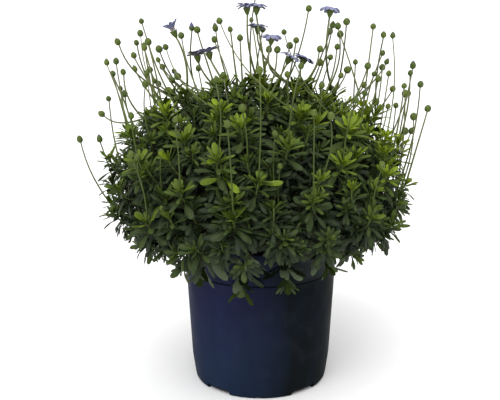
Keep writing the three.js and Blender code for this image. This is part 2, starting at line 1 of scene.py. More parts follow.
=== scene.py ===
"""Looks of a potted blue daisy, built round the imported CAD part.

The plant is grown by the same rules as the CAD solids: stems rise from the soil and fork into shoots
whose tips reach the surface of a cushion, and bare stalks with buds or flower heads rise from the
tips. Here each stem gets more shoots and all its leaves, and every leaf, bud and petal its full form.
Sizes are in millimetres until a mesh is made.
"""

import math

import bpy
import numpy as np
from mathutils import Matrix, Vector
from numpy.linalg import norm


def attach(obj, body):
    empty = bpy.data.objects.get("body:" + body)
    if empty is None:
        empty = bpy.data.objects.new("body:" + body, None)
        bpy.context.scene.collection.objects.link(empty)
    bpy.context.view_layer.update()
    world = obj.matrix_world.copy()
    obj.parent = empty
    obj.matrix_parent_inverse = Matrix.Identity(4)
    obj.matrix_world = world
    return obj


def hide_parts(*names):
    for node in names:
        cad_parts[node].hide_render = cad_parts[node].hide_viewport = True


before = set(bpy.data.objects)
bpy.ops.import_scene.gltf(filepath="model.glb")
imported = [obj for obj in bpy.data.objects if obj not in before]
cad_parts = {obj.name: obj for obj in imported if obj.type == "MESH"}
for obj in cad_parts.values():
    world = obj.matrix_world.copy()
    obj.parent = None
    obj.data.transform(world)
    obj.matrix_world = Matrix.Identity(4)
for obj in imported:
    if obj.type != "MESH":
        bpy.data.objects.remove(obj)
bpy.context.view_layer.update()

MM = 0.001
UP = np.array([0.0, 0.0, 1.0])
FULL_TURN = 2 * math.pi
GOLDEN_TURN = math.pi * (3 - math.sqrt(5))

# Pot and soil, as in the CAD part
POT_HEIGHT = 167
POT_BASE_R = 76.1
POT_TAPER = 0.0545
POT_WALL = 1.8
POT_FLOOR = 2.4
POT_FLOOR_R = 72.2
POT_SIDES = 200
GROOVE_Z = 131
LEDGE_Z = 153.8
LIP_Z = 158.5
LIP_OUT = 2.2
# Heights from the foot to the groove, and how far the wall lies inside its taper there
POT_INSETS = [
    (0, 5), (1.2, 3.2), (3, 2.3), (8, 1.75), (15, 1.2), (22, 0.5), (30, 0),
    (GROOVE_Z - 1.2, 0), (GROOVE_Z, 0.7), (GROOVE_Z + 1.2, 0),
]
# Notches of each kind: where they stand and how wide they are in degrees, and their height
NOTCHES = [((40, -40, 140, -140), 24, 6.5), ((-2, 88, 178, -92), 6, 1.9)]
NOTCH_REACH = (63, POT_BASE_R + 6)
POT_ROUNDING = 1.2
SOIL_Z = 150
SOIL_HILL = 3
HOLE_DEPTH = 24
# Corners round the soil, rings of them over its top, and the depth of its crumb
SOIL_SIDES = 180
SOIL_RINGS = 60
SOIL_CRUMB = 1.8

# Cushion of leaves, stems and shoots, as in the CAD part
CUSHION_X = -4
CUSHION_R = 160
CUSHION_Z = 222
CUSHION_RISE = 108
CUSHION_DROP = 92
CUSHION_ROUNDING = 0.9
CUSHION_LOWEST = math.radians(130)
STEMS = 26
STEM_R = (2.3, 1.6)
STEM_SIDES = 8
STEM_REACH = 0.58
HOLES_R = (10, 60)
SHOOTS = 80
TOP_CROWDING = 1.2
SHOOT_SHARES = (0.955, 1.045)
SHOOT_R = (1.3, 0.9)
SHOOT_SIDES = 6
SHOOT_POINTS = 9
SKIRT_SHOOTS = 13
SKIRT_R = 101
SKIRT_Z = 142
SKIRT_RISE = 30
# Shoots that only this script adds: between those, above the rim, inside the cushion and over the rim
MORE_SHOOTS = 280
MORE_RIM = 70
INNER_SHOOTS = 64
MORE_SKIRT = 28
# Between which degrees down, and which shares of the way to the surface, their tips lie
RIM_FALLS = (62, 116)
INNER_FALLS = (12, 112)
MORE_SHARES = (1.0, 0.84)
RIM_SHARES = (0.97, 0.83)
INNER_SHARES = (0.66, 0.8)
# Half the width of the rim's front, and the lowest that these may be beside it and in front of it
RIM_HALF = 75
SIDE_LOWEST = 166
FRONT_LOWEST = 186
# The first number of each kind of shoot, and of the stalks, since a number decides its owner's draws
FIRST_MORE = 1000
FIRST_SKIRT = 2000
FIRST_RIM = 3000
FIRST_INNER = 4000
FIRST_HEAD = 500
FIRST_BUD = 600
FIRST_MORE_BUD = 700

# Leaves in threes round a shoot, as in the CAD part: (distance below the tip, length, width, angle)
WHORLS = [(18, 24, 7.4, 60), (4, 18, 6.0, 32)]
WHORL_HEIGHT = 2.2
# Leaf pairs between them: (distance below the tip, length, width, angle off the shoot in degrees)
LEAF_PAIRS = [
    (0.2, 6, 1.8, 8), (0.6, 9, 2.6, 16), (1.2, 12, 3.8, 22), (2.4, 15, 4.8, 27),
    (5.6, 19, 5.8, 38), (8.0, 20, 6.0, 44), (10.6, 21, 6.2, 50), (13.6, 22, 6.6, 55),
    (20.2, 24, 7.2, 63), (24.0, 24, 7.4, 67), (28.5, 24, 7.4, 71), (34.0, 24, 7.4, 75),
    (40.0, 23, 7.2, 80), (48.0, 22, 7.0, 86), (60.0, 22, 7.0, 90), (74.0, 22, 7.0, 90),
]
# Each pair stands turned by this much from the pair above it
PAIR_TURN = math.radians(67)
# The pairs that a hanging shoot has, and the share of their angle that they keep
HANGING_PAIRS = (1, 3, 5, 8, 10)
HANGING_ANGLE = 0.75
LEAF_THICKNESS = 0.55

# Stalks, and how far one bows to a side: as a share of its length, and at most
STALK_LENGTH = (62, 112)
STALK_BOW = 0.14
STALK_BOW_MOST = 10
STALK_POINTS = 11
STALK_SIDES = 6
STALK_RADII = (1.1, 0.76)
CUP_STALK_RADII = (1.25, 1.0)
# Shoots with tips ahead of this have thin stalks, and those added here short ones too
FRONT_Y = -40
FRONT_STALK_RADII = (0.8, 0.58)
FRONT_STALK_SHARE = 0.6
# The share of the CAD part's shoots, and of those added here, that carry a bud of their own
FLOWERING_SHARE = 0.3
FLOWERING_MORE_SHARE = 0.11
BUD_R = 3.4
BUD_LENGTH = 7.6
BUD_SIDES = 16
RIPE_SHARE = 0.14
# Heights and radii: shares of their own for the bud, cup and eye, and millimetres for the other two
BUD_PROFILE = [
    (0, 0.3), (0.08, 0.62), (0.2, 0.88), (0.38, 1.0), (0.56, 0.98),
    (0.72, 0.84), (0.86, 0.58), (0.96, 0.26), (1, 0),
]
CUP_PROFILE = [(-1, 0.2), (-0.88, 0.36), (-0.66, 0.58), (-0.4, 0.78), (-0.18, 0.92), (0, 0.98)]
EYE_PROFILE = [(0, 0.93), (0.08, 0.95), (0.16, 0.82), (0.22, 0.55), (0.25, 0)]
HUB_PROFILE = [(-0.4, 2.0), (0.1, 2.9), (0.4, 2.9), (0.55, 2.4)]
FLORET_PROFILE = [(-0.2, 0.2), (0.15, 0.24), (0.3, 0.3), (0.42, 0.2), (0.46, 0)]

# Buds seen against the sky, read off the photograph: their middles
MARKED_BUDS = [
    (-198, 8, 270), (-171, -4, 300), (-164, 0, 355), (-150, -10, 377), (-155, 30, 324),
    (-128, 6, 385), (-117, -35, 348), (-99, -20, 373), (-97, 45, 341), (-73, 4, 391),
    (-43, -12, 399), (-38, -50, 347), (51, 6, 411), (25, 20, 386), (84, 30, 391),
    (88, -30, 399), (104, 30, 353), (117, -16, 394), (130, 0, 384), (141, 8, 383),
    (135, -14, 345), (160, 0, 344), (172, 4, 331), (153, -15, 323), (148, 15, 307),
]
# The one of these that shows its closed rays
OPENING_BUD = 9
# More of them, that only this script adds
MORE_BUDS = [
    (-161, 20, 341), (-144, -20, 347), (-118, -10, 377), (-137, 15, 361), (-123, 40, 343),
    (-115, 5, 335), (-111, 30, 366), (-69, 30, 387), (-49, 25, 389), (-22, 10, 380),
    (32, 40, 369), (17, -45, 372), (75, -15, 395), (88, 45, 381), (61, -35, 372),
    (93, 5, 346), (124, 20, 341), (136, 10, 355), (111, 0, 331), (155, -10, 282),
    (146, 30, 323), (-144, -15, 323), (-135, 25, 374), (-131, -25, 351), (-105, -40, 362),
    (-107, 20, 348), (-86, -30, 343), (-95, 0, 336), (-82, -25, 385), (-47, -40, 382),
    (37, -20, 380), (9, 15, 367), (5, 50, 349), (74, 10, 387), (81, -5, 372),
    (65, 25, 352), (84, -25, 344), (112, -20, 353), (122, -30, 341), (134, -25, 312),
    (128, 30, 308),
]

# Single leaves seen against the background at the sides: root, tip and width as seen from the front
SIDE_LEAVES = [
    ((-161, -10, 200), (-170, -14, 191), 3), ((-154, -20, 193), (-159, -24, 186), 5),
    ((-142, -10, 177), (-145, -12, 157), 2.4), ((-131, -30, 184), (-133, -34, 173), 4),
    ((-129, -20, 175), (-133, -22, 151), 3), ((-119, -20, 180), (-120, -20, 161), 2.6),
    ((-108, -30, 157), (-122, -36, 140), 7), ((-86, -70, 180), (-98, -76, 162), 8),
    ((-88, -70, 171), (-87, -74, 156), 5), ((149, -10, 215), (160, -12, 213), 3),
    ((150, 0, 203), (165, -4, 193), 3), ((137, -10, 196), (152, -14, 189), 7),
    ((131, -10, 189), (138, -12, 180), 3), ((125, -20, 171), (136, -26, 152), 5),
    ((108, -30, 173), (121, -36, 156), 7), ((86, -50, 170), (104, -56, 167), 9),
    ((85, -50, 159), (104, -54, 152), 8), ((82, -55, 154), (93, -58, 139), 3),
]
# Pale single leaves that hang in front of the rim, with a painted sheen: root, tip and width
HANGING_LEAVES = [
    ((-37, -101, 175), (-33, -109, 147), 9.5), ((-14, -106, 173), (-17, -112, 157), 8),
    ((-6, -106, 176), (-2, -113, 161), 8.5), ((-15, -105, 155), (-26, -111, 133), 9.5),
    ((12, -105, 165), (22, -110, 150), 7), ((29, -101, 166), (27, -109, 147), 6),
    ((43, -95, 162), (43, -103, 146), 9), ((-66, -87, 160), (-68, -94, 138), 6),
    ((56, -88, 164), (52, -98, 148), 7), ((-26, -104, 169), (-28, -111, 161), 6),
    ((5, -106, 174), (3, -113, 164), 4), ((-55, -93, 174), (-54, -102, 162), 5),
    ((38, -98, 176), (36, -106, 166), 8),
]

# Leaves past this age get fewer stations. Ages end at 1, and this mark past them paints a leaf pale, a
# painted sheen
OLD_AGE = 0.8
PALE_AGE = 1.3
# Large bright leaves on the front: root, tip and width
BRIGHT_LEAVES = [
    ((-33, -150, 258), (-57, -152, 257), 6.5), ((-32, -150, 269), (-50, -152, 278), 5),
    ((-32, -150, 257), (-20, -155, 249), 7), ((-36, -148, 241), (-47, -152, 231), 6),
    ((-20, -140, 227), (-31, -146, 215), 7), ((9, -150, 252), (21, -156, 259), 5.5),
    ((-13, -130, 209), (1, -137, 205), 6), ((37, -138, 233), (52, -142, 242), 6),
    ((-61, -118, 201), (-50, -124, 197), 6), ((-81, -116, 273), (-97, -120, 281), 6),
]

# Flower heads: the middle of the rays, the way they face, how far the rays rise, and how they curl
HEADS = [
    ((-91, -15, 389), (-0.45, 0.05), 52, 0.05),
    ((-70, 40, 358), (-0.2, 0.3), 30, 0.3),
    ((-54, -20, 367), (-0.25, 0.16), 10, 0.05),
    ((-15, 26, 411), (-0.1, 0.2), 24, 0.35),
    ((-4, -17, 413), (0.05, 0.18), 18, 0.4),
    ((-3, 62, 388), (0.1, 0.25), 8, 0.3),
    ((11, -42, 384), (0.1, 0.2), 16, 0.6),
    ((31, -12, 361), (0.5, 0.12), 12, 0.35),
    ((47, 18, 356), (0.45, 0.24), 14, 0.4),
    ((71, -30, 411), (0.1, 0.2), 12, 0.55),
]
FADED_HEAD = 1
RAYS = 13
RAY_FOOT = 1.6
RAY_LENGTH = 9.8
RAY_THICKNESS = 0.8
EYE_R = 3.0
EYE_SIDES = 20
CUP_R = 4.0
CUP_HEIGHT = 8.5
CUP_SIDES = 24
FLORETS = 64
GAP = 0.3

# The lamps are this much brighter than the colours are named for, so that the floor goes white
LAMP_GAIN = 1.3
SKY_STRENGTH = 0.32
KEY_STRENGTH = 1.9
TOP_STRENGTH = 1.5
FLOOR_METRES = 60

# Camera, fitted to the pot in the photograph
CAMERA_BACK = 1000
CAMERA_Z = 451.7
CAMERA_TILT = math.radians(13.934)
FOCAL_PIXELS = 933.2
SHIFT_PIXELS = 10.61
IMAGE_WIDTH = 500
SENSOR_WIDTH = 36


# Vectors and draws


def draw(a, b, c):
    """A fixed random number from 0 to 1 for three whole numbers."""
    mask = 0xFFFFFFFF
    h = ((a + 1) * 0x9E3779B1 ^ (b + 1) * 0x85EBCA6B ^ (c + 1) * 0xC2B2AE35) & mask
    h = ((h ^ h >> 15) * 0x2C1B3C6D) & mask
    h = ((h ^ h >> 12) * 0x297A2D39) & mask
    return (h ^ h >> 15) / 4294967296


def stray(a, b, c):
    """The same, from -0.5 to 0.5."""
    return draw(a, b, c) - 0.5


def vec(*values):
    return np.array(values, float)


def outwards(azimuth, out, z):
    """A point this far out from the middle of the pot, or a way, with azimuths from the front."""
    return vec(out * math.sin(azimuth), -out * math.cos(azimuth), z)


def unit(v):
    return v / norm(v)


def mix(a, b, share):
    return a + (b - a) * share


def smooth(low, high, value):
    t = np.clip((value - low) / (high - low), 0, 1)
    return t * t * (3 - 2 * t)


def turned(a, b, angle):
    """The direction at this angle from a towards b, which is square to it."""
    return math.cos(angle) * a + math.sin(angle) * b


def bezier(a, b, c, t):
    return a * (1 - t) ** 2 + b * (2 * t * (1 - t)) + c * t * t


def square_to(along):
    """Two directions square to this one."""
    side = np.cross(along, UP)
    side = unit(side) if norm(side) > 0.05 else vec(1, 0, 0)
    return side, np.cross(along, side)


# Meshes


def placed(name, data):
    """An object with this data, placed in the scene."""
    made = bpy.data.objects.new(name, data)
    bpy.context.scene.collection.objects.link(made)
    return made


class Form:
    """A mesh in the making. Each corner carries what the materials read: how far along and across its
    leaf it lies, how old the growth is, and the tint of its leaf. On leaves the age also carries painted
    shade and sheen, and age and tint carry painted light. An edge between two corners whose
    edge flags share a bit is sharp."""

    def __init__(self):
        self.corners = []
        self.marks = []
        self.edges = []
        self.faces = []
        self.slots = []
        self.count = 0

    def add(self, corners, faces, marks=(0, 0, 0, 0), edge=0, slot=0):
        corners = np.reshape(corners, (-1, 3))
        self.corners.append(corners)
        self.marks.append(np.broadcast_to(marks, (len(corners), 4)))
        self.edges.append(np.broadcast_to(edge, len(corners)))
        self.faces.extend([tuple(i + self.count for i in face) for face in faces])
        self.slots.extend([slot] * len(faces))
        self.count += len(corners)

    def wrap(self, rings, marks=(0, 0, 0, 0), slot=0):
        """Add rings of corners with a skin over them, and with marks for all rings or for each."""
        sizes = [len(corners) for corners in rings]
        marks = np.repeat(np.broadcast_to(marks, (len(rings), 4)), sizes, axis=0)
        self.add(np.concatenate(rings), skin(sizes), marks, slot=slot)

    def mesh(self, name):
        made = bpy.data.meshes.new(name)
        made.from_pydata((np.concatenate(self.corners) * MM).tolist(), [], self.faces)
        return made

    def make(self, node, look, materials, slot):
        """The finished piece, which rides on the only body and stands for its CAD node."""
        name = f"{node}_{look}"
        mesh = self.mesh(name)
        for title, values in zip(("along", "across", "age", "tint"), np.concatenate(self.marks).T):
            made = mesh.attributes.new(title, "FLOAT", "POINT")
            made.data.foreach_set("value", values.astype(np.float32))
        for material in materials:
            mesh.materials.append(material)
        mesh.polygons.foreach_set("material_index", self.slots)
        mesh.polygons.foreach_set("use_smooth", [True] * len(mesh.polygons))
        ends = np.zeros(len(mesh.edges) * 2, np.int32)
        mesh.edges.foreach_get("vertices", ends)
        flags = np.concatenate(self.edges)[ends.reshape(-1, 2)]
        sharp = mesh.attributes.new("sharp_edge", "BOOLEAN", "EDGE")
        sharp.data.foreach_set("value", (flags[:, 0] & flags[:, 1]) != 0)
        mesh.update()
        piece = placed(name, mesh)
        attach(piece, "root")
        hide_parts(node)
        return piece


def skin(sizes):
    """Faces over rings of corners with these counts, where 1 is a point, and over both ends."""
    faces, start = [], 0
    for low, high in zip(sizes, sizes[1:]):
        after = start + low
        for k in range(max(low, high)):
            a, b = start + k % low, start + (k + 1) % low
            c, d = after + k % high, after + (k + 1) % high
            faces.append(tuple(dict.fromkeys((a, b, d, c))))
        start = after
    if sizes[0] > 2:
        faces.append(tuple(range(sizes[0] - 1, -1, -1)))
    if sizes[-1] > 2:
        faces.append(tuple(range(start, start + sizes[-1])))
    return faces


def round_angles(sides):
    return np.arange(sides) * (FULL_TURN / sides)


def ring(middle, across, third, radius, sides):
    angles = round_angles(sides)
    outward = np.outer(np.cos(angles), across) + np.outer(np.sin(angles), third)
    return middle + np.reshape(radius, (-1, 1)) * outward


def frames_along(path):
    """At each point of a path, the way it runs and two directions square to it that don't spin."""
    frames, across = [], None
    for i in range(len(path)):
        along = unit(path[min(i + 1, len(path) - 1)] - path[max(i - 1, 0)])
        across = square_to(along)[0] if across is None else unit(across - across.dot(along) * along)
        frames.append((along, across, np.cross(along, across)))
    return frames


def add_rod(form, path, radii, sides, marks, slot, pointed=False):
    """A rod along a path, with its radius at each point of the path."""
    frames = frames_along(path)
    rings = [ring(p, f[1], f[2], r, sides) for p, f, r in zip(path, frames, radii)]
    if pointed:
        rings.append((path[-1] + frames[-1][0] * radii[-1] * 1.5)[None])
    form.wrap(rings, marks, slot)


# Leaves and petals are thin closed blades: four corners round each station, and a point at the tip

LEAF_STATIONS = np.array([0.0, 0.24, 0.46, 0.66, 0.83, 0.945])
OLD_LEAF_STATIONS = np.array([0.0, 0.36, 0.7, 0.92])
RAY_STATIONS = np.array([0.0, 0.15, 0.35, 0.55, 0.75, 0.9, 0.97])


def leaf_outline(u):
    """Half width of a spoon-shaped leaf, as a share of its greatest half width."""
    tapered = 0.17 + 0.83 * smooth(0.05, 0.72, u) ** 1.15
    rounded = np.sqrt(np.clip(1 - (np.clip(u - 0.7, 0, 1) / 0.31) ** 2, 0, 1))
    return tapered * rounded


def ray_outline(u):
    """The same for a ray, which is broad nearly from its foot to its round tip."""
    tapered = 0.42 + 0.58 * smooth(0, 0.6, u)
    rounded = np.sqrt(np.clip(1 - (np.clip(u - 0.62, 0, 1) / 0.4) ** 2.4, 0, 1))
    return tapered * rounded


def add_blades(form, stations, outline, blades):
    """Blades by the many. Each has a root, the way it runs and the way it faces, its length, width and
    thickness, its bend, fold and twist in radians, and its age and tint."""
    roots, alongs, faces, sizes, shapes, marks = (np.array(column, float) for column in zip(*blades))
    length, width, thick = sizes.T[..., None]
    bend, fold, twist = shapes.T[..., None]
    u = np.append(stations, 1.0)
    half = 0.5 * width * outline(u)
    across, alongs, faces = np.cross(faces, alongs)[:, None], alongs[:, None], faces[:, None]
    sine, cosine = np.sin(bend * u)[..., None], np.cos(bend * u)[..., None]
    middle = roots[:, None] + (alongs * sine - faces * (1 - cosine)) * (length / bend)[..., None]
    ahead = cosine * alongs - sine * faces
    normal = sine * alongs + cosine * faces
    side = across * np.cos(twist * u)[..., None] + normal * np.sin(twist * u)[..., None]
    top = np.cross(side, ahead)
    rise = (np.sin(fold) * half)[..., None]
    spread = (np.cos(fold) * half)[..., None]
    depth = (thick * (0.35 + 0.65 * outline(u)))[..., None]
    left = middle - side * spread + top * rise
    right = middle + side * spread + top * rise
    corners = np.stack([left, middle - top * depth, right, middle], axis=2)[:, :-1]
    count, stops = len(roots), len(stations)
    corners = np.concatenate([corners.reshape(count, -1, 3), middle[:, -1:]], axis=1)
    per = stops * 4 + 1
    pattern = skin([4] * stops + [1])
    all_faces = [tuple(i + per * n for i in face) for n in range(count) for face in pattern]
    all_marks = np.zeros((count, per, 4))
    all_marks[..., 0] = np.append(np.repeat(stations, 4), 1.0)
    all_marks[..., 1] = np.append(np.tile([-1.0, 0.0, 1.0, 0.0], stops), 0.0)
    all_marks[..., 2:] = marks[:, None]
    edge = np.append(np.tile([1, 0, 2, 0], stops), 3)
    form.add(corners, all_faces, all_marks.reshape(-1, 4), np.tile(edge, count))


# Stems and shoots


def on_cushion(fall, azimuth, share=1.0):
    """The point of the cushion's surface this far from straight up, or a share of the way to it."""
    out = math.sin(fall) ** CUSHION_ROUNDING
    high = abs(math.cos(fall)) ** CUSHION_ROUNDING
    z = high * (CUSHION_RISE if math.cos(fall) > 0 else -CUSHION_DROP)
    r = CUSHION_R * out * share
    return vec(CUSHION_X, 0, CUSHION_Z) + outwards(azimuth, r, z * share)


def spread_out(count, turn, crowding=1.0):
    """Directions spread over the cushion, from its top down to its lowest edge."""
    for i in range(count):
        share = ((i + 0.5) / count) ** crowding
        yield math.acos(mix(1, math.cos(CUSHION_LOWEST), share)), i * GOLDEN_TURN + turn


class Stem:
    """A stem from its hole in the soil to its fork inside the cushion, with all that it carries."""

    def __init__(self, index, fall, azimuth):
        self.name = f"stem_{index + 1:02d}"
        out_r = mix(*HOLES_R, fall / CUSHION_LOWEST)
        self.hole = outwards(azimuth, out_r, SOIL_Z)
        self.end = on_cushion(fall, azimuth, STEM_REACH)
        self.goal = on_cushion(fall, azimuth)
        self.knee = vec(*self.hole[:2] * 1.15, mix(SOIL_Z, self.end[2], 0.75) + 8)
        self.form = Form()
        self.marked_leaves = []

    def at(self, t):
        return bezier(self.hole + 6 * UP, self.knee, self.end, t)


class Shoot:
    """A shoot with its draws. Outward is the share of the way to the cushion's surface that its tip
    reaches. Its leaves are slim, loose and closed by these factors, and bright by its glow."""

    def __init__(self, number, tip, heading, hangs=False, outward=1.0):
        self.number = number
        self.tip = tip
        self.heading = unit(heading)
        self.hangs = hangs
        self.outward = outward
        self.extra = number >= FIRST_MORE
        self.loose = 2.0 if self.extra else 1.0
        self.size = (1.15 if hangs else 0.85) + 0.3 * draw(number, 9, 0)
        if self.extra and not hangs:
            self.size -= 0.26 * draw(number, 9, 3)
        slim_above = mix(1.0, 0.82, smooth(215, 285, tip[2]))
        self.slim = (0.68 + 0.22 * draw(number, 9, 4)) * slim_above
        self.glow = draw(number, 9, 5) ** 3
        self.closed = 0.62 + 0.3 * draw(number, 9, 6)
        self.used = False

    def join(self, stems):
        """Grow from the stem whose top would lie nearest, at its fork or its end."""
        self.stem = min(stems, key=lambda stem: norm(stem.goal - self.tip))
        fork = 0.66 if draw(self.number, 2, 1) < 0.5 else 0.97
        self.root = self.stem.at(fork)
        self.reach = norm(self.tip - self.root)
        self.elbow = self.tip - self.heading * 0.42 * self.reach + UP * (16 if self.hangs else 0)

    def at(self, t):
        return bezier(self.root, self.elbow, self.tip, t)

    def way(self, t):
        return unit(self.at(min(t + 0.05, 1.0)) - self.at(t - 0.05))


def upright_shoot(number, fall, azimuth, shares, wander=0.0):
    """Shoots stand nearly upright on top, lean out on the sides and hang at the lowest edge."""
    share = mix(*shares, draw(number, 0, 1))
    tip = on_cushion(fall, azimuth + wander * stray(number, 0, 2), share)
    lean = fall * mix(0.22, 0.85, smooth(math.radians(90), CUSHION_LOWEST, fall))
    heading = outwards(azimuth, math.sin(lean), math.cos(lean))
    sway = vec(stray(number, 9, 1), stray(number, 9, 2), 0)
    swing = 1.2 if number >= FIRST_MORE else 0.4
    return Shoot(number, tip, heading + sway * swing, outward=share)


def skirt_shoot(number, azimuth):
    """A shoot that hangs over the rim of the pot."""
    r = SKIRT_R + 9 * stray(number, 1, 3)
    z = SKIRT_Z + SKIRT_RISE * math.sin(azimuth) ** 2 + 10 * stray(number, 1, 4)
    return Shoot(number, outwards(azimuth, r, z), outwards(azimuth, 0.4, -0.9), True)


def part_shoots():
    """The shoots that the CAD part has."""
    for i, (fall, azimuth) in enumerate(spread_out(SHOOTS, 0.7, TOP_CROWDING)):
        yield upright_shoot(i, fall, azimuth, SHOOT_SHARES, 0.12)
    for i in range(SKIRT_SHOOTS):
        azimuth = FULL_TURN * (i + 0.5 + 0.3 * stray(SHOOTS + i, 1, 2)) / SKIRT_SHOOTS
        yield skirt_shoot(SHOOTS + i, azimuth)


def more_shoots():
    """Shoots between those, and more of them low on the cushion."""
    for i, (fall, azimuth) in enumerate(spread_out(MORE_SHOOTS, 2.1, TOP_CROWDING)):
        yield upright_shoot(FIRST_MORE + i, fall, azimuth, MORE_SHARES, 0.3)
    for i in range(MORE_RIM):
        fall = math.radians(mix(*RIM_FALLS, draw(FIRST_RIM + i, 0, 3)))
        yield upright_shoot(FIRST_RIM + i, fall, i * GOLDEN_TURN + 1.3, RIM_SHARES)


def clears_the_rim(shoot):
    """Whether a shoot leaves the rim of the pot in sight, as the cushion does in front."""
    x, y, z = shoot.tip
    if abs(x - CUSHION_X) > RIM_HALF:
        return z > SIDE_LOWEST
    return y > 0 or z > FRONT_LOWEST or shoot.outward < 0.88


def inner_shoots():
    """Shoots that fill the dark inside of the cushion with broad leaves."""
    for i in range(INNER_SHOOTS):
        fall = math.radians(mix(*INNER_FALLS, draw(FIRST_INNER + i, 0, 3) ** 0.7))
        shoot = upright_shoot(FIRST_INNER + i, fall, i * GOLDEN_TURN + 0.6, INNER_SHARES)
        shoot.outward, shoot.slim = 0.84, 1.0
        yield shoot


def more_skirt_shoots():
    """More shoots that hang over the rim, except in front."""
    for i in range(MORE_SKIRT):
        number = FIRST_SKIRT + i
        azimuth = FULL_TURN * (i + draw(number, 1, 2)) / MORE_SKIRT
        shoot = skirt_shoot(number, azimuth)
        shoot.tip += UP * 14 * smooth(0.2, 0.8, abs(math.sin(azimuth)))
        if math.cos(azimuth) < 0.4:
            yield shoot


def grow_stem(stem):
    """A stem a little slimmer than its solid, so that it stands clear in its hole."""
    path = [stem.hole + UP * (1 - HOLE_DEPTH), stem.hole - 8 * UP, stem.hole + 4 * UP]
    path += [stem.at(t) for t in np.linspace(0.1, 1, 9)]
    radii = np.linspace(*STEM_R, len(path)) * 0.96
    add_rod(stem.form, path, radii, STEM_SIDES, (0, 0, 1, 0.5), slot=1, pointed=True)


def grow_shoot(shoot):
    path = [shoot.at(t) for t in np.linspace(0, 1, SHOOT_POINTS)]
    marks = [(0, 0, age, 0.5) for age in [*np.linspace(0.9, 0.1, SHOOT_POINTS), 0.1]]
    radii = np.linspace(*SHOOT_R, SHOOT_POINTS)
    add_rod(shoot.stem.form, path, radii, SHOOT_SIDES, marks, slot=1, pointed=True)


def leaf_at(shoot, key, side, turn, below, length, width, angle, depth):
    """Root, directions, sizes, shape and marks of one leaf."""
    number = shoot.number
    # The frame of the nearer whorl, as in the CAD part
    _, across, third = shoot.frames[4 if below < 8 else 2]
    t = 1 - below / shoot.reach
    root = shoot.at(t)
    heading = shoot.way(min(t, 0.97))
    out = turned(across, third, turn)
    out = unit(out - out.dot(heading) * heading)
    jitter = 16 * shoot.loose * stray(number, key, 4 + side)
    tilt = math.radians(angle * (HANGING_ANGLE if shoot.hangs else 1) + jitter)
    leaf_along = turned(heading, out, tilt)
    # Leaves sag, and more so low on the plant and down their shoot
    low = 1 - smooth(150, 240, root[2])
    leaf_along = unit(leaf_along - UP * mix(0.12, 0.45, low) * smooth(0, 20, below))
    face = unit(np.cross(leaf_along, np.cross(heading, out)))
    size = shoot.size * (0.88 + 0.24 * draw(number, key, side))
    bend = 0.3 + 0.5 * draw(number, key, 6 + side) + (0.2 if below > 6 else 0)
    fold = 0.3 - 0.28 * draw(number, key, 8 + side)
    twist = 0.7 * stray(number, key, 10 + side)
    # Leaves down their shoot are old and dark. Leaves low on the plant or far inside it get painted shade,
    # and those on the right above the rim painted light, through their age and tint
    shade = 0.42 * (1 - smooth(140, 290, root[2]))
    sunny = smooth(40, 150, root[0]) * smooth(170, 260, root[2])
    age = below / 34 + shade + depth + 0.16 * draw(number, key, 12) - 0.2 * sunny
    tint = 0.08 + 0.7 * shoot.glow + 0.3 * draw(number, key, 14 + side) + 0.4 * sunny
    sizes = (length * size, width * size, LEAF_THICKNESS)
    marks = (min(max(age, 0.0), 1.0), min(tint, 1.0))
    return root + leaf_along * 0.2, leaf_along, face, sizes, (bend, fold, twist), marks


def leaves_of(shoot):
    """The leaves of one shoot: two whorls of three, as in the CAD part, and pairs between them."""
    found = []
    base_turn = FULL_TURN * draw(shoot.number, 3, 0)
    levels = [1 - d / shoot.reach for whorl in WHORLS for d in (whorl[0], whorl[0] - WHORL_HEIGHT)]
    shoot.frames = frames_along([shoot.at(t) for t in [0.4, *levels]])
    upright = mix(1.0, 0.62 if shoot.extra else 0.78, smooth(210, 310, shoot.tip[2]))
    top = smooth(250, 315, shoot.tip[2])
    # Painted shade for added shoots far inside the cushion, less near the top
    deep_shade = 0.5 * (1 - shoot.outward) / 0.16 * (1 - 0.4 * top) if shoot.extra else 0.0
    for level, (below, length, width, angle) in enumerate(WHORLS):
        slim = shoot.slim if shoot.extra else 1.0
        if shoot.extra and not shoot.hangs:
            angle *= shoot.closed
        for side in range(3):
            turn = base_turn + math.pi / 3 * (1 + level) + FULL_TURN / 3 * side
            turn += 0.8 * (shoot.loose - 1) * stray(shoot.number, 20 + level, side)
            middle = below - WHORL_HEIGHT / 2
            found.append(leaf_at(shoot, 10 + level, side, turn, middle, length, width * slim, angle, deep_shade))
    for pair, (below, length, width, angle) in enumerate(LEAF_PAIRS):
        if below > 0.88 * shoot.reach or (shoot.hangs and pair not in HANGING_PAIRS):
            continue
        wide = width * (1.0 if shoot.hangs else shoot.slim)
        for side in (0, 1):
            sway = 0.5 * shoot.loose * stray(shoot.number, 30 + pair, 2 + side)
            turn = base_turn + PAIR_TURN * pair + math.pi * side + sway
            found.append(leaf_at(shoot, 30 + pair, side, turn, below, length, wide, angle * upright, deep_shade))
    return found


def grow_marked_leaf(shoots, root, tip, width, number, age):
    """A leaf with its tip where it is seen, rooted on the shoot that passes nearest to its root."""
    spots = [(shoot, t) for shoot in shoots for t in (0.6, 0.7, 0.8, 0.9, 0.98)]
    shoot, t = min(spots, key=lambda spot: norm(spot[0].at(spot[1]) - root))
    foot = shoot.at(t)
    length = norm(tip - foot)
    way = (tip - foot) / length
    front = vec(0, -1, 0.3)
    front = unit(front - front.dot(way) * way)
    real_width = max(width, 5.0)
    turn = math.acos(width / real_width)
    front = turned(front, np.cross(way, front), turn)
    bend = 0.2 + 0.4 * draw(number, 50, 1)
    along = turned(way, front, bend / 2)
    face = turned(front, -way, bend / 2)
    shape = (bend, 0.25, 0.4 * stray(number, 50, 2))
    marks = (age + 0.2 * draw(number, 50, 3), 0.3 + 0.6 * draw(number, 50, 4))
    sizes = (length, real_width, LEAF_THICKNESS)
    shoot.stem.marked_leaves.append((foot, along, face, sizes, shape, marks))


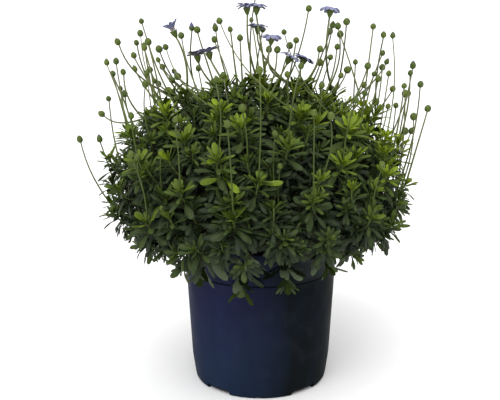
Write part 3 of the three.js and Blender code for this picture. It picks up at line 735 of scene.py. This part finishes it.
def grow_leaves(stem, shoots):
    """All the leaves of a stem. Old ones are half hidden and get fewer stations."""
    found = [leaf for shoot in shoots if shoot.stem is stem for leaf in leaves_of(shoot)]
    found += stem.marked_leaves
    for stations, wanted in ((LEAF_STATIONS, False), (OLD_LEAF_STATIONS, True)):
        leaves = [leaf for leaf in found if (OLD_AGE < leaf[-1][0] <= 1) == wanted]
        add_blades(stem.form, stations, leaf_outline, leaves)


# Stalks, buds and heads


def grow_stalk(shoot, end, axis, number, radii):
    """A stalk that reaches its end along the axis, bowed to one side by a few millimetres. In place of
    its age it is marked by how low it stands in front, where it is darker."""
    length = norm(end - shoot.tip)
    knee = end - axis * 0.45 * length
    most = min(STALK_BOW * length, STALK_BOW_MOST)
    bow = vec(stray(number, 8, 7), stray(number, 8, 8), 0) * most
    stops = np.linspace(0, 1, STALK_POINTS)
    path = [bezier(shoot.tip, knee, end, t) + bow * math.sin(math.pi * t) for t in stops]
    _, y, z = np.array(path).T
    low = (1 - smooth(300, 352, z + 0.12 * y)) * (1 - smooth(-85, -35, y))
    marks = [(t, 0, share, draw(number, 8, 3)) for t, share in zip(stops, low)]
    radii = np.linspace(*radii, STALK_POINTS)
    add_rod(shoot.stem.form, path, radii, STALK_SIDES, marks, slot=2)
    shoot.used = True


def add_turned(form, foot, axis, profile, sides, marks=(0, 0), slot=0, ribs=(0, 0)):
    """A form turned from heights and radii, with ribs up its sides of this depth and number."""
    across, third = square_to(axis)
    wavy = 1 + ribs[0] * np.cos(ribs[1] * round_angles(sides))
    rings = []
    for height, radius in profile:
        middle = foot + axis * height
        rings.append(ring(middle, across, third, radius * wavy, sides) if radius else middle[None])
    heights = [height for height, _ in profile]
    low, high = min(heights), max(heights)
    form.wrap(rings, [((height - low) / (high - low), 0, *marks) for height in heights], slot)


def grow_bud(shoot, foot, axis, number, opening=False):
    """A round bud. Ripe ones are pointed, with a hint of blue, and one shows its closed rays."""
    size = 0.79 + 0.36 * draw(number, 8, 1)
    slim = 0.9 + 0.16 * draw(number, 8, 2)
    ripe = 0.45 if draw(number, 8, 6) > 1 - RIPE_SHARE else 0.0
    if opening:
        size, ripe = 1.0, 1.0
    profile = []
    for height, radius in BUD_PROFILE:
        pointed = 1 - 0.5 * ripe * smooth(0.3, 1.0, height)
        height *= 1 + 0.4 * ripe * height
        profile.append((height * BUD_LENGTH * size, radius * pointed * BUD_R * size * slim))
    radii = FRONT_STALK_RADII if shoot.tip[1] < FRONT_Y else STALK_RADII
    grow_stalk(shoot, foot + axis * 0.4, axis, number, radii)
    marks = (ripe, draw(number, 8, 5))
    add_turned(shoot.stem.form, foot, axis, profile, BUD_SIDES, marks, 3, (0.035, 8))


def grow_cup(shoot, foot, axis, number):
    """The stalk of a head and the green cup on it."""
    grow_stalk(shoot, foot - axis * (CUP_HEIGHT - 0.4), axis, number, CUP_STALK_RADII)
    profile = [(height * CUP_HEIGHT, radius * CUP_R) for height, radius in CUP_PROFILE]
    add_turned(shoot.stem.form, foot, axis, profile, CUP_SIDES, (0.2, 0.5), 3, (0.05, 12))


def nearest_shoot(shoots, point):
    """The free shoot whose tip best carries a stalk up to this point, leaning outwards a little."""
    x, y, z = point
    away = vec(x, y, 0) / max(math.hypot(x, y), 1)

    def cost(shoot):
        gap = shoot.tip - vec(0.8 * x, 0.8 * y, z - 70)
        gap[:2] *= 2
        return norm(gap) + max(0.0, gap.dot(away))

    return min((shoot for shoot in shoots if not shoot.used), key=cost)


def grow_marked_bud(shoot, middle, number, opening=False):
    axis = unit(mix(unit(middle - shoot.tip), UP, 0.45))
    grow_bud(shoot, middle - axis * BUD_LENGTH / 2, axis, number, opening)


def grow_own_bud(shoot):
    """A bud where the shoot's growth takes it."""
    number = shoot.number
    length = mix(*STALK_LENGTH, draw(number, 4, 0))
    if shoot.extra and shoot.tip[1] < FRONT_Y:
        length *= FRONT_STALK_SHARE
    outward = vec(*shoot.tip[:2], 0) / CUSHION_R
    sway = vec(stray(number, 5, 0), stray(number, 6, 0), 0)
    way = unit(UP + shoot.heading * 0.2 + outward * 0.2 + sway * 0.22)
    grow_bud(shoot, shoot.tip + way * length, unit(mix(way, UP, 0.45) + sway * 0.3), number)


def head_axis(lean):
    return unit(vec(*lean, 1))


def make_rays(index, at, lean, rise, curl, materials):
    """The blue rays of one head, which are narrow where they stand steeply."""
    axis = head_axis(lean)
    across, third = square_to(axis)
    seat = vec(*at) + axis * (GAP + RAY_THICKNESS / 2)
    width = mix(5.8, 3.2, smooth(30, 50, rise))
    rays = []
    for k in range(RAYS):
        turn = FULL_TURN * (k + 0.3 * stray(index, 41, k)) / RAYS
        out = turned(across, third, turn)
        opened = math.radians(rise + mix(26, 16, rise / 52) + 14 * stray(index, 42, k))
        along = turned(out, axis, opened)
        face = unit(turned(axis, -out, opened))
        length = (RAY_LENGTH + EYE_R - RAY_FOOT) * (0.92 + 0.16 * draw(index, 43, k))
        bend = 0.55 + curl * 2.4 + 0.25 * stray(index, 44, k)
        shape = (bend, 0.16, 0.5 * stray(index, 45, k))
        marks = (float(index == FADED_HEAD), draw(index, 46, k))
        root = seat + out * RAY_FOOT + axis * 0.12 * (k % 2)
        rays.append((root, along, face, (length, width, RAY_THICKNESS / 2), shape, marks))
    form = Form()
    add_blades(form, RAY_STATIONS, ray_outline, rays)
    add_turned(form, seat, axis, HUB_PROFILE, EYE_SIDES, (0.5, 0.5))
    form.make(f"rays_{index + 1:02d}", "petals", materials, "ray")


def make_eye(index, at, lean, materials):
    """The yellow middle: a dome covered with small florets in spirals."""
    axis = head_axis(lean)
    across, third = square_to(axis)
    foot = vec(*at) + axis * (2 * GAP + RAY_THICKNESS)
    form = Form()
    dome = [(height * EYE_R, radius * EYE_R) for height, radius in EYE_PROFILE]
    add_turned(form, foot, axis, dome, EYE_SIDES, (0.5, 0.5))
    for k in range(FLORETS):
        share = math.sqrt((k + 0.5) / FLORETS)
        turn = k * GOLDEN_TURN
        out = turned(across, third, turn)
        point = foot + out * share * 0.92 * EYE_R + axis * EYE_R * 0.25 * (1 - share**2.4)
        way = unit(axis + out * share * 0.9)
        add_turned(form, point, way, FLORET_PROFILE, 6, (share, draw(index, 47, k)))
    form.make(f"eye_{index + 1:02d}", "florets", materials, "eye")


# Pot and soil


def wall_r(z):
    return POT_BASE_R + POT_TAPER * z


def inner_r(z):
    share = (z - POT_FLOOR) / (POT_HEIGHT - POT_FLOOR)
    return mix(POT_FLOOR_R, wall_r(POT_HEIGHT) - POT_WALL, share)


def rounded_profile(points):
    """The profile with each corner between its ends cut by a small arc."""
    points = [vec(*point) for point in points]
    made = [points[0]]
    for before, corner, after in zip(points, points[1:], points[2:]):
        cut = min(POT_ROUNDING, *(0.4 * norm(end - corner) for end in (before, after)))
        a, c = (corner + unit(end - corner) * cut for end in (before, after))
        made += [bezier(a, corner, c, t) for t in np.linspace(0, 1, 4)]
    return [*made, points[-1]]


def pot_profile():
    """The radii and heights of the pot, from its underside over the rim to its floor."""
    return [
        (0, 0),
        *[(wall_r(z) - inset, z) for z, inset in POT_INSETS],
        (wall_r(LEDGE_Z), LEDGE_Z - 0.5),
        (wall_r(LEDGE_Z) + 0.8, LEDGE_Z + 0.5),
        (wall_r(LIP_Z) + 0.8, LIP_Z - 0.6),
        (wall_r(LIP_Z) + LIP_OUT, LIP_Z + 0.6),
        (wall_r(POT_HEIGHT) + LIP_OUT, POT_HEIGHT - 1),
        (wall_r(POT_HEIGHT) + LIP_OUT - 1, POT_HEIGHT),
        (inner_r(POT_HEIGHT), POT_HEIGHT),
        (inner_r(POT_FLOOR), POT_FLOOR),
        (0, POT_FLOOR),
    ]


def notch_boxes():
    """A box for each notch through the foot of the pot."""
    form = Form()
    inner, outer = NOTCH_REACH
    for azimuths, angle, height in NOTCHES:
        half = POT_BASE_R * math.sin(math.radians(angle / 2))
        plan = [(inner, -half), (outer, -half), (outer, half), (inner, half)]
        for azimuth in azimuths:
            out = outwards(math.radians(azimuth), 1, 0)
            aside = np.cross(UP, out)
            corners = [out * r + aside * s + UP * z for z in (-height, height) for r, s in plan]
            form.add(corners, skin([4, 4]))
    return form


def make_pot(materials):
    """The pot, turned and then cut by its notches."""
    form = Form()
    profile = [(z, r) for r, z in rounded_profile(pot_profile())]
    add_turned(form, vec(0, 0, 0), UP, profile, POT_SIDES)
    pot = form.make("pot", "shell", materials, "pot")
    cutter = placed("notch_cutter", notch_boxes().mesh("notch_cutter"))
    cut = pot.modifiers.new("notches", "BOOLEAN")
    cut.operation = "DIFFERENCE"
    cut.solver = "MANIFOLD"
    cut.object = cutter
    graph = bpy.context.evaluated_depsgraph_get()
    uncut, pot.data = pot.data, bpy.data.meshes.new_from_object(pot.evaluated_get(graph))
    pot.modifiers.clear()
    bpy.data.meshes.remove(uncut)
    bpy.data.objects.remove(cutter)
    pot.data.set_sharp_from_angle(angle=math.radians(38))


def make_soil(materials):
    """A crumbly mound inside the pot."""
    foot = POT_FLOOR + GAP
    stations = [(inner_r(foot) - GAP - 1, foot), (inner_r(SOIL_Z) - GAP - 1, SOIL_Z - 2.5)]
    for r in np.linspace(79, 1, SOIL_RINGS):
        stations.append((r, SOIL_Z - 1.5 + SOIL_HILL * (1 - (r / 80) ** 2)))
    rings = [vec(0, 0, foot)[None]]
    for index, (r, z) in enumerate(stations):
        rough = [stray(k, 60, index) for k in range(SOIL_SIDES)]
        crumb = SOIL_CRUMB if index > 1 else 0.0
        flat = ring(UP * z, vec(1, 0, 0), vec(0, 1, 0), r, SOIL_SIDES)
        rings.append(flat + crumb * np.outer(rough, UP))
    rings.append(vec(0, 0, SOIL_Z + SOIL_HILL - 1)[None])
    form = Form()
    form.wrap(rings)
    form.make("soil", "crumb", materials, "soil")


# Materials


class Paint:
    """A material in the making, with its shader and a short way to add nodes."""

    def __init__(self, name, **values):
        self.material = bpy.data.materials.new(name)
        self.material.use_nodes = True
        self.tree = self.material.node_tree
        self.shader = self.tree.nodes["Principled BSDF"]
        for title, value in values.items():
            self.shader.inputs[title.replace("_", " ")].default_value = value

    def node(self, kind, inputs, **properties):
        """A node whose inputs are linked to other nodes' outputs or set to values."""
        node = self.tree.nodes.new(kind)
        for title, value in properties.items():
            setattr(node, title, value)
        for title, value in inputs.items():
            if isinstance(value, bpy.types.NodeSocket):
                self.tree.links.new(value, node.inputs[title])
            else:
                node.inputs[title].default_value = value
        return node

    def mark(self, title):
        return self.node("ShaderNodeAttribute", {}, attribute_name=title).outputs["Fac"]

    def place(self):
        return self.node("ShaderNodeNewGeometry", {}).outputs["Position"]

    def coordinates(self):
        return self.node("ShaderNodeSeparateXYZ", {"Vector": self.place()}).outputs[:]

    def noise(self, scale, detail, vector=None):
        inputs = {"Scale": scale, "Detail": detail, "Vector": vector or self.place()}
        return self.node("ShaderNodeTexNoise", inputs).outputs["Fac"]

    def math(self, operation, a, b=0.0, c=0.0):
        return self.node("ShaderNodeMath", {0: a, 1: b, 2: c}, operation=operation).outputs[0]

    def span(self, value, low, high, to_low=0.0, to_high=1.0):
        inputs = {"Value": value, "From Min": low, "From Max": high, "To Min": to_low, "To Max": to_high}
        return self.node("ShaderNodeMapRange", inputs).outputs["Result"]

    def blend(self, share, a, b):
        return self.node("ShaderNodeMix", {0: share, 6: a, 7: b}, data_type="RGBA").outputs[2]

    def lay(self, colour, *span):
        """Lay a colour over what there is, as strongly as this span of a value says."""
        self.base = self.blend(self.span(*span), self.base, colour)

    def use(self, title, socket):
        self.tree.links.new(socket, self.shader.inputs[title])

    def bump(self, height, distance, strength):
        inputs = {"Height": height, "Distance": distance, "Strength": strength}
        self.use("Normal", self.node("ShaderNodeBump", inputs).outputs["Normal"])

    def finished(self):
        self.use("Base Color", self.base)
        return self.material


def rgb(red, green, blue):
    """A colour as it shows on screen, from 0 to 255, turned into what the bright lamps show so."""
    linear = [((c / 255 + 0.055) / 1.055) ** 2.4 if c > 10 else c / 3295 for c in (red, green, blue)]
    return (*[value / LAMP_GAIN for value in linear], 1.0)


def paint_leaf():
    paint = Paint("leaf_green", Roughness=0.5, Specular_IOR_Level=0.14)
    age, tint, across = paint.mark("age"), paint.mark("tint"), paint.mark("across")
    paint.base = paint.blend(tint, rgb(76, 100, 22), rgb(142, 164, 24))
    # The age mark darkens a leaf: real age down its shoot, and painted shade low on the plant and far
    # inside it
    paint.lay(paint.blend(tint, rgb(43, 58, 30), rgb(74, 94, 35)), age, 0.05, 0.5)
    paint.lay(rgb(27, 35, 31), age, 0.45, 0.95, 0.0, 0.85)
    # Painted sheen: leaves marked past 1 turn pale grey-green
    paint.lay(rgb(90, 104, 80), age, 1.1, PALE_AGE)
    mottle = paint.noise(260, 3)
    paint.lay(rgb(66, 78, 36), mottle, 0.35, 0.7, 0.0, 0.3)
    paint.lay(rgb(98, 114, 44), paint.math("ABSOLUTE", across), 0.02, 0.16, 0.3, 0.0)
    paint.use("Roughness", paint.span(mottle, 0.3, 0.7, 0.42, 0.6))
    paint.bump(paint.noise(900, 2), 0.0002, 0.4)
    return paint.finished()


def paint_stem():
    paint = Paint("stem_green", Roughness=0.6, Specular_IOR_Level=0.25)
    paint.base = rgb(84, 98, 42)
    paint.lay(rgb(52, 52, 30), paint.mark("age"), 0.1, 1.0)
    paint.lay(rgb(46, 54, 28), paint.noise(400, 2), 0.4, 0.7, 0.0, 0.4)
    return paint.finished()


def paint_stalk():
    paint = Paint("stalk_green", Roughness=0.55, Specular_IOR_Level=0.25)
    upper = paint.blend(paint.mark("tint"), rgb(122, 130, 80), rgb(116, 113, 94))
    paint.base = rgb(100, 114, 54)
    paint.lay(upper, paint.mark("along"), 0.35, 0.95)
    paint.lay(rgb(66, 84, 26), paint.mark("age"), 0.0, 1.0, 0.0, 0.92)
    paint.lay(rgb(74, 82, 46), paint.noise(300, 2), 0.4, 0.7, 0.0, 0.35)
    return paint.finished()


def paint_bud():
    paint = Paint("bud_green", Roughness=0.55, Specular_IOR_Level=0.25)
    along, ripe = paint.mark("along"), paint.mark("age")
    paint.base = paint.blend(paint.mark("tint"), rgb(98, 116, 40), rgb(78, 96, 36))
    paint.lay(rgb(106, 112, 58), along, 0.7, 1.0, 0.0, 0.4)
    paint.lay(rgb(56, 68, 30), paint.noise(700, 2), 0.4, 0.65, 0.0, 0.5)
    blue_from = paint.math("SUBTRACT", 1.05, paint.math("MULTIPLY", ripe, 0.6))
    paint.lay(rgb(104, 106, 150), paint.math("SUBTRACT", along, blue_from), 0.0, 0.16, 0.0, 0.85)
    paint.bump(paint.noise(700, 2), 0.0004, 0.5)
    return paint.finished()


def paint_ray():
    paint = Paint("ray_blue", Roughness=0.6, Specular_IOR_Level=0.25)
    paint.base = paint.blend(paint.mark("tint"), rgb(144, 146, 178), rgb(124, 127, 163))
    paint.lay(rgb(158, 157, 187), paint.mark("along"), 0.0, 0.35, 0.5, 0.0)
    streaks = paint.math("SINE", paint.math("MULTIPLY", paint.mark("across"), 14.0))
    paint.lay(rgb(106, 108, 146), streaks, 0.2, 1.0, 0.0, 0.2)
    paint.lay(rgb(122, 118, 118), paint.mark("age"), 0.0, 1.0, 0.0, 0.8)
    return paint.finished()


def paint_eye():
    paint = Paint("eye_yellow", Roughness=0.7)
    paint.base = paint.blend(paint.mark("tint"), rgb(204, 168, 58), rgb(222, 186, 66))
    paint.lay(rgb(132, 134, 62), paint.mark("age"), 0.55, 0.95)
    return paint.finished()


def paint_soil():
    paint = Paint("soil_brown", Roughness=0.95)
    paint.base = rgb(34, 26, 20)
    paint.lay(rgb(72, 56, 42), paint.noise(180, 6), 0.35, 0.7)
    # Painted shade: the soil goes near black low down inside the pot
    paint.lay(rgb(13, 14, 16), paint.coordinates()[2], 0.02, 0.08, 1.0, 0.0)
    paint.bump(paint.noise(420, 6), 0.002, 0.8)
    return paint.finished()


def paint_pot():
    """Dark plastic, painted with light: navy on the side that faces the key lamp and near black on the
    rest. Grey along the sides of its rim, both dust and painted sheen, and painted shade in its groove.
    """
    paint = Paint("pot_plastic", Roughness=0.45, IOR=1.06)
    x, y, z = paint.coordinates()
    # Painted light: navy where the pot faces the key lamp, near black away from it
    toward_key_lamp = paint.math("ADD", paint.math("MULTIPLY", x, -0.75), paint.math("MULTIPLY", y, -0.66))
    painted_light_band = paint.math("MULTIPLY_ADD", paint.noise(11, 4), 0.04, toward_key_lamp)
    lit_navy = paint.blend(paint.span(z, 0.03, 0.12), rgb(33, 45, 69), rgb(38, 41, 71))
    paint.base = rgb(21, 25, 28)
    paint.lay(lit_navy, painted_light_band, 0.046, 0.094)
    dust_and_sheen_noise = paint.noise(60, 6)
    paint.lay(rgb(52, 58, 72), dust_and_sheen_noise, 0.5, 0.8, 0.0, 0.2)
    inputs = {0: paint.place(), 1: (70, 70, 14)}
    stretched = paint.node("ShaderNodeVectorMath", inputs, operation="MULTIPLY").outputs[0]
    streaks = paint.noise(1.0, 4, stretched)
    paint.lay(rgb(22, 36, 52), streaks, 0.45, 0.75, 0.0, 0.4)
    # Grey along the rim: dust, with painted sheen where the rim turns away at the sides
    rim = paint.span(paint.math("MULTIPLY_ADD", dust_and_sheen_noise, 0.02, z), 0.132, 0.166, 0.0, 0.6)
    side_sheen = paint.span(paint.math("ABSOLUTE", x), 0.03, 0.07, 0.12, 1.0)
    paint.lay(rgb(84, 90, 88), paint.math("MULTIPLY", rim, side_sheen), 0.0, 1.0)
    # Painted shade: a dark line along the groove
    off_groove = paint.math("ABSOLUTE", paint.math("SUBTRACT", z, GROOVE_Z * MM))
    paint.lay(rgb(10, 12, 16), off_groove, 0.0006, 0.0014, 0.75, 0.0)
    paint.use("Roughness", paint.span(paint.noise(35, 5), 0.3, 0.7, 0.36, 0.52))
    paint.bump(paint.noise(700, 3), 0.0001, 0.35)
    return paint.finished()


def paint_floor():
    return Paint("floor_white", Base_Color=(0.93, 0.93, 0.93, 1), Roughness=0.9).material


# Stage


def make_stage():
    mesh = bpy.data.meshes.new("floor")
    far = FLOOR_METRES
    mesh.from_pydata([(-far, -far, 0), (far, -far, 0), (far, far, 0), (-far, far, 0)], [], [(0, 1, 2, 3)])
    mesh.materials.append(paint_floor())
    placed("floor", mesh)


def add_sun(name, from_side, spread, strength):
    lamp = bpy.data.lights.new(name, "SUN")
    lamp.angle = math.radians(spread)
    lamp.energy = strength
    placed(name, lamp).rotation_euler = Vector(from_side).to_track_quat("Z", "Y").to_euler()


def light_scene():
    world = bpy.data.worlds.new("studio")
    world.use_nodes = True
    background = world.node_tree.nodes["Background"]
    background.inputs["Color"].default_value = (1, 1, 1, 1)
    background.inputs["Strength"].default_value = SKY_STRENGTH * LAMP_GAIN
    bpy.context.scene.world = world
    add_sun("key_left", (-0.36, -1.0, 1.0), 55, KEY_STRENGTH * LAMP_GAIN)
    add_sun("top", (0.15, 0.1, 1.0), 100, TOP_STRENGTH * LAMP_GAIN)
    bpy.context.scene.view_settings.view_transform = "Standard"


def make_camera():
    data = bpy.data.cameras.new("camera")
    data.sensor_width = SENSOR_WIDTH
    data.lens = FOCAL_PIXELS / IMAGE_WIDTH * SENSOR_WIDTH
    data.shift_x = -SHIFT_PIXELS / IMAGE_WIDTH
    data.clip_end = 100
    camera = placed("camera", data)
    camera.location = (0, -CAMERA_BACK * MM, CAMERA_Z * MM)
    camera.rotation_euler = (math.pi / 2 - CAMERA_TILT, 0, 0)
    bpy.context.scene.camera = camera


# Assembly

stems = [Stem(i, fall, azimuth) for i, (fall, azimuth) in enumerate(spread_out(STEMS, 0))]
cad_shoots = list(part_shoots())
outer_shoots = [shoot for shoot in more_shoots() if clears_the_rim(shoot)]
skirt_shoots = list(more_skirt_shoots())
shoots = [*cad_shoots, *outer_shoots, *inner_shoots(), *skirt_shoots]
outer_shoots += skirt_shoots

for shoot in shoots:
    shoot.join(stems)
for stem in stems:
    grow_stem(stem)
for shoot in shoots:
    grow_shoot(shoot)
for index, (at, lean, _, _) in enumerate(HEADS):
    grow_cup(nearest_shoot(cad_shoots, at), vec(*at), head_axis(lean), FIRST_HEAD + index)
for index, at in enumerate(MARKED_BUDS):
    grow_marked_bud(nearest_shoot(cad_shoots, at), vec(*at), FIRST_BUD + index, index == OPENING_BUD)
for index, at in enumerate(MORE_BUDS):
    grow_marked_bud(nearest_shoot(outer_shoots, at), vec(*at), FIRST_MORE_BUD + index)
for shoot in cad_shoots + outer_shoots:
    share = FLOWERING_MORE_SHARE if shoot.extra else FLOWERING_SHARE
    if not shoot.used and shoot.heading[2] > 0 and draw(shoot.number, 7, 0) < share:
        grow_own_bud(shoot)
marked_leaves = [(0, 0.5, SIDE_LEAVES), (100, 0.1, BRIGHT_LEAVES), (200, PALE_AGE, HANGING_LEAVES)]
for first, age, leaves in marked_leaves:
    for index, (root, tip, width) in enumerate(leaves):
        grow_marked_leaf(shoots, vec(*root), vec(*tip), width, first + index, age)
for stem in stems:
    grow_leaves(stem, shoots)

greens = [paint_leaf(), paint_stem(), paint_stalk(), paint_bud()]
blue, yellow = [paint_ray()], [paint_eye()]
for stem in stems:
    stem.form.make(stem.name, "grown", greens, "leaf")
for index, (at, lean, rise, curl) in enumerate(HEADS):
    make_rays(index, at, lean, rise, curl, blue)
    make_eye(index, at, lean, yellow)
make_pot([paint_pot()])
make_soil([paint_soil()])
make_stage()
light_scene()
make_camera()
